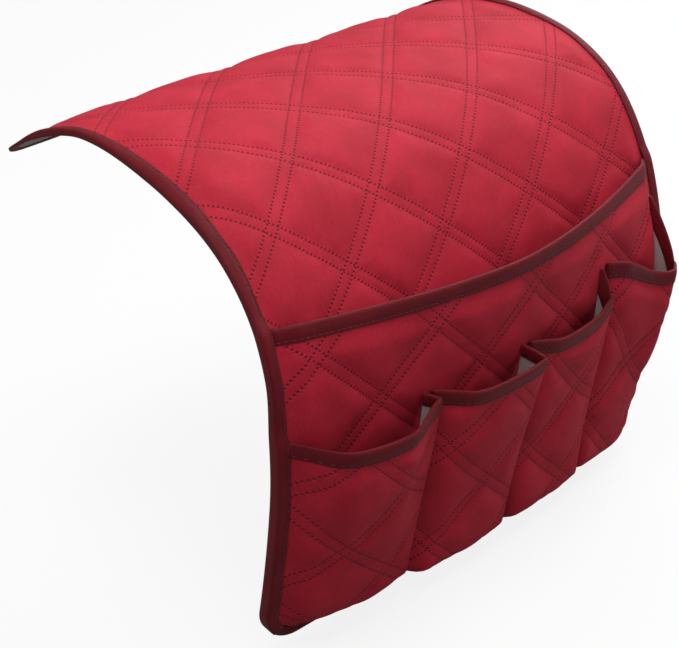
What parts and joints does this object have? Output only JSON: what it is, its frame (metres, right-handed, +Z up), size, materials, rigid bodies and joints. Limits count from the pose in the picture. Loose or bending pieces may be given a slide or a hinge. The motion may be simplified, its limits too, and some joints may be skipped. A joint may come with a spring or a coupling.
{
  "type": "sofa armrest organizer",
  "caption": "Quilted cloth drape for a sofa's arm, bound all round, with one wide pocket and smaller pleated pockets sewn across its hanging front.",
  "frame": {"origin": "underside of the drape's lining, at the top of the arm and halfway along it", "axes": "+X along the arm, -Y out to the side with the pockets, +Z up"},
  "size_m": [0.33, 0.2662, 0.2761],
  "materials": {
    "wine_red_cloth": "matte brushed",
    "white_wadding": "matte",
    "grey_lining": "matte",
    "dark_red_tape": "satin woven"
  },
  "bodies": {
    "drape": {"drape_face": "wine_red_cloth", "drape_wadding": "white_wadding", "drape_lining": "grey_lining", "edge_binding": "dark_red_tape", "wide_pocket_face": "wine_red_cloth", "wide_pocket_lining": "grey_lining", "wide_pocket_mouth_tape": "dark_red_tape", "small_pocket_1_side": "wine_red_cloth", "small_pocket_1_side_tape": "dark_red_tape", "small_pocket_1_gusset": "wine_red_cloth", "small_pocket_2_side": "wine_red_cloth", "small_pocket_2_side_tape": "dark_red_tape", "small_pocket_2_gusset": "wine_red_cloth", "small_pocket_3_side": "wine_red_cloth", "small_pocket_3_side_tape": "dark_red_tape", "small_pocket_3_gusset": "wine_red_cloth", "small_pocket_4_side": "wine_red_cloth", "small_pocket_4_side_tape": "dark_red_tape", "small_pocket_4_gusset": "wine_red_cloth"},
    "small_pocket_1": {"small_pocket_1_front": "wine_red_cloth", "small_pocket_1_lining": "grey_lining", "small_pocket_1_mouth_tape": "dark_red_tape"},
    "small_pocket_2": {"small_pocket_2_front": "wine_red_cloth", "small_pocket_2_lining": "grey_lining", "small_pocket_2_mouth_tape": "dark_red_tape"},
    "small_pocket_3": {"small_pocket_3_front": "wine_red_cloth", "small_pocket_3_lining": "grey_lining", "small_pocket_3_mouth_tape": "dark_red_tape"},
    "small_pocket_4": {"small_pocket_4_front": "wine_red_cloth", "small_pocket_4_lining": "grey_lining", "small_pocket_4_mouth_tape": "dark_red_tape"}
  },
  "joints": [
    {"name": "small_pocket_1_open", "type": "hinge", "parent": "drape", "child": "small_pocket_1", "pos_m": [-0.10439, -0.11433, -0.26209], "axis": [1, 0, 0], "range_deg": [-2, 8], "stiffness_Nm_per_rad": 0.08, "deforming": ["small_pocket_1_side", "small_pocket_1_side_tape", "small_pocket_1_gusset"]},
    {"name": "small_pocket_2_open", "type": "hinge", "parent": "drape", "child": "small_pocket_2", "pos_m": [-0.02104, -0.11433, -0.26209], "axis": [1, 0, 0], "range_deg": [-3, 8], "stiffness_Nm_per_rad": 0.08, "deforming": ["small_pocket_2_side", "small_pocket_2_side_tape", "small_pocket_2_gusset"]},
    {"name": "small_pocket_3_open", "type": "hinge", "parent": "drape", "child": "small_pocket_3", "pos_m": [0.05833, -0.11433, -0.26209], "axis": [1, 0, 0], "range_deg": [-1, 8], "stiffness_Nm_per_rad": 0.08, "deforming": ["small_pocket_3_side", "small_pocket_3_side_tape", "small_pocket_3_gusset"]},
    {"name": "small_pocket_4_open", "type": "hinge", "parent": "drape", "child": "small_pocket_4", "pos_m": [0.12973, -0.11433, -0.26209], "axis": [1, 0, 0], "range_deg": [-1.5, 8], "stiffness_Nm_per_rad": 0.08, "deforming": ["small_pocket_4_side", "small_pocket_4_side_tape", "small_pocket_4_gusset"]}
  ]
}
